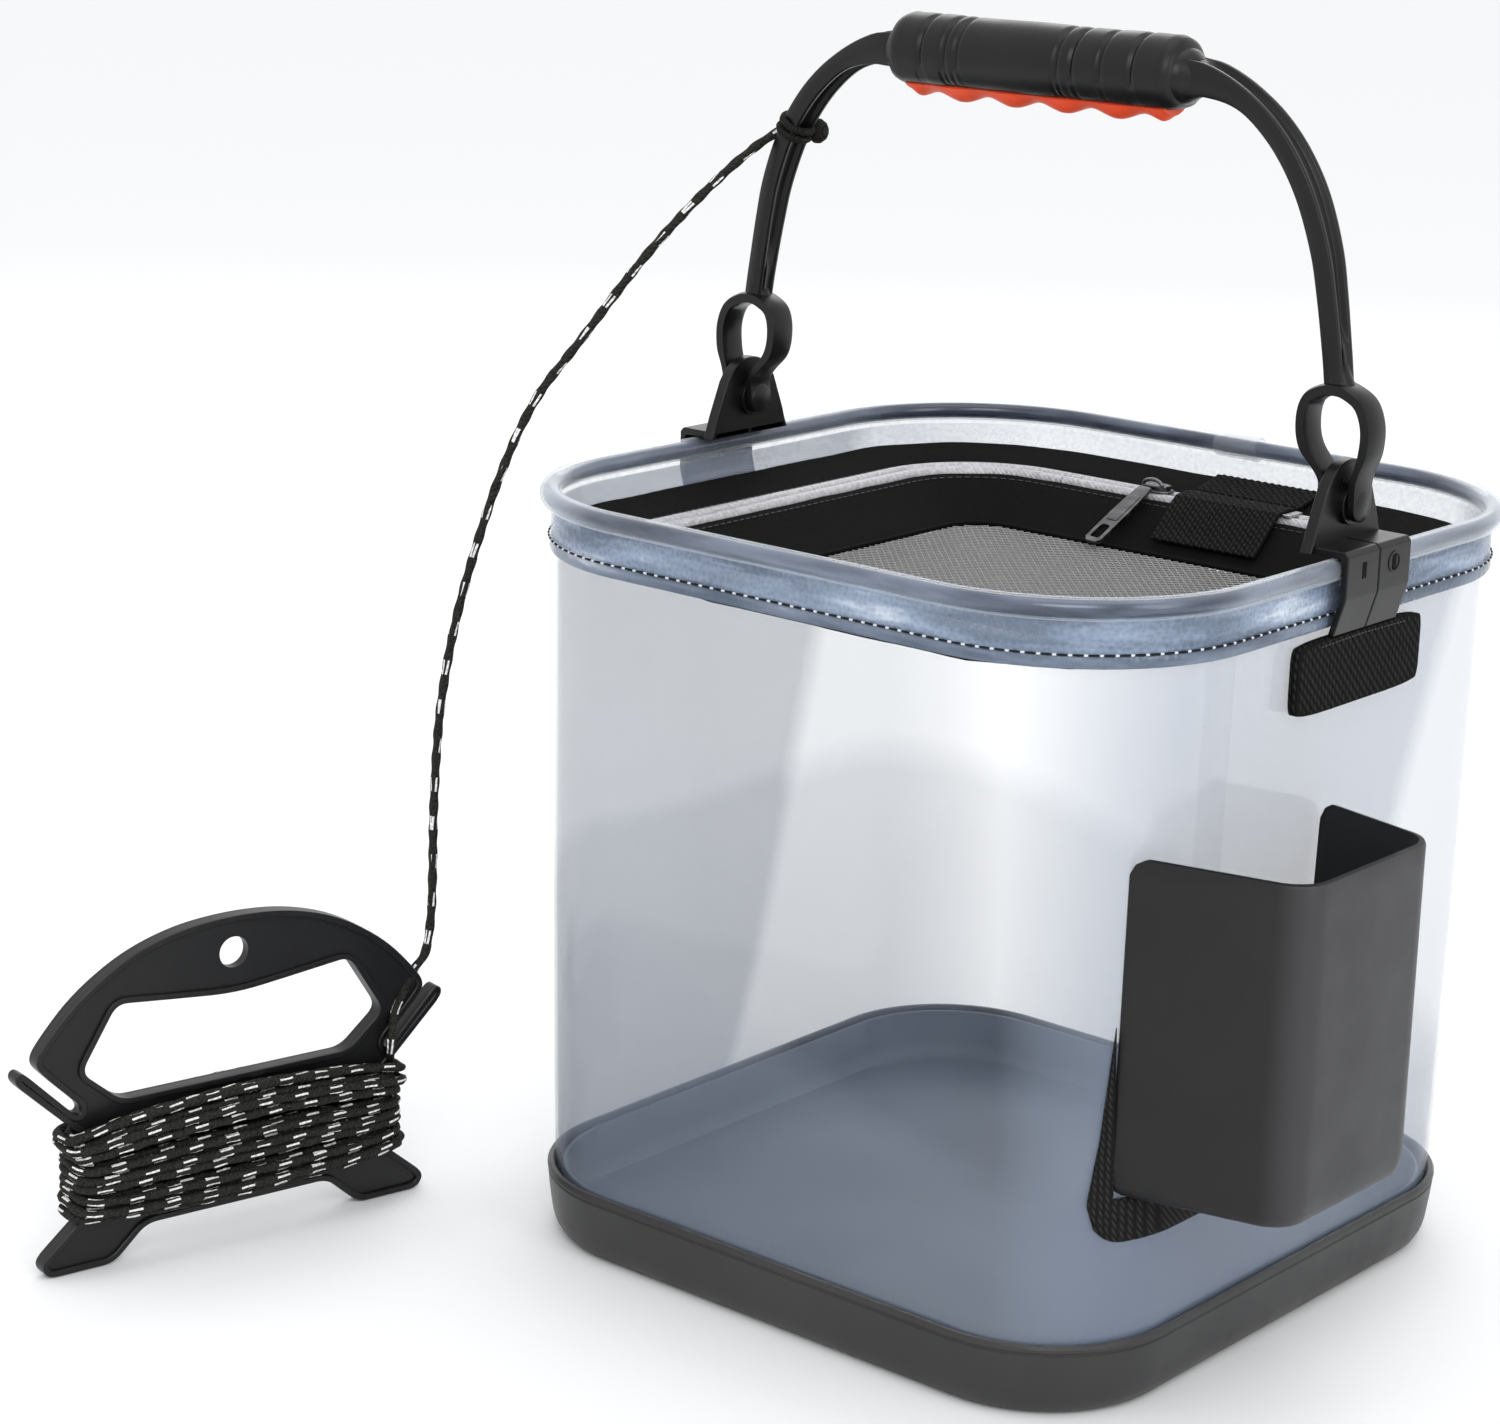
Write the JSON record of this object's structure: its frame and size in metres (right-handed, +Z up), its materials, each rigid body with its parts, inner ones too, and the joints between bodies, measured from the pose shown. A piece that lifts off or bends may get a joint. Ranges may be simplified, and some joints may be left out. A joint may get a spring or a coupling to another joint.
{
  "type": "soft square bucket with zipped mesh lid",
  "caption": "Soft clear square bucket with bail handle, zipped mesh lid, side pouch and a rope wound on a hand winder.",
  "frame": {"origin": "centre of the underside of the base", "axes": "+Z up; X along the bail's hinge axis, +X towards the pouch side; +Y towards the zip slider side"},
  "size_m": [0.3683, 0.3897, 0.4031],
  "materials": {
    "tray": "satin",
    "liner": "satin",
    "clear": "gloss",
    "band": "gloss",
    "piping": "gloss",
    "fabric": "matte",
    "mesh": "matte",
    "webbing": "matte",
    "zip": "satin",
    "gunmetal": "satin",
    "flange": "matte",
    "moulded": "satin",
    "pin": "satin",
    "grip": "matte",
    "orange": "matte",
    "winder": "satin",
    "rope": "matte"
  },
  "bodies": {
    "bucket": {"base_tray": "tray", "floor_pan": "liner", "wall_clear": "clear", "wall_seam_strip": "clear", "rim_band": "band", "rim_piping": "piping", "rim_joint_sleeve": "clear", "lid_flange": "fabric", "zip_strip_outer": "zip", "patch_fixed": "webbing", "pouch": "tray", "pouch_flange": "flange", "clip_bracket_near": "moulded", "clip_bracket_far": "moulded", "clip_pad_near": "webbing", "clip_pad_far": "webbing", "pivot_pin_near": "pin", "pivot_pin_far": "pin", "winder": "winder", "rope_winding": "rope", "rope_free": "rope"},
    "handle": {"bail": "moulded", "grip": "grip", "grip_insert": "orange", "rope_knot": "rope"},
    "lid": {"zip_strip_inner": "zip", "zip_strip_rear_outer": "zip", "zip_strip_rear_inner": "zip", "zip_end_stop": "zip", "lid_panel": "fabric", "lid_mesh": "mesh", "lid_binding": "fabric", "patch_lid": "webbing"},
    "slider": {"zip_slider": "gunmetal"},
    "pull_tab": {"zip_pull_tab": "gunmetal"}
  },
  "joints": [
    {"name": "handle_swing", "type": "hinge", "parent": "bucket", "child": "handle", "pos_m": [0, 0, 0.269], "axis": [1, 0, 0], "range_deg": [-88, 88]},
    {"name": "lid_open", "type": "hinge", "parent": "bucket", "child": "lid", "pos_m": [0, 0.1066, 0.2372], "axis": [-1, 0, 0], "range_deg": [0, 35]},
    {"name": "zip_travel", "type": "slide", "parent": "lid", "child": "slider", "axis": [-1, 0, 0], "range_m": [0, 0.028]},
    {"name": "tab_flip", "type": "hinge", "parent": "slider", "child": "pull_tab", "pos_m": [-0.017, 0.0952, 0.2392], "axis": [-0.9659, 0.2588, 0], "range_deg": [0, 80]}
  ]
}
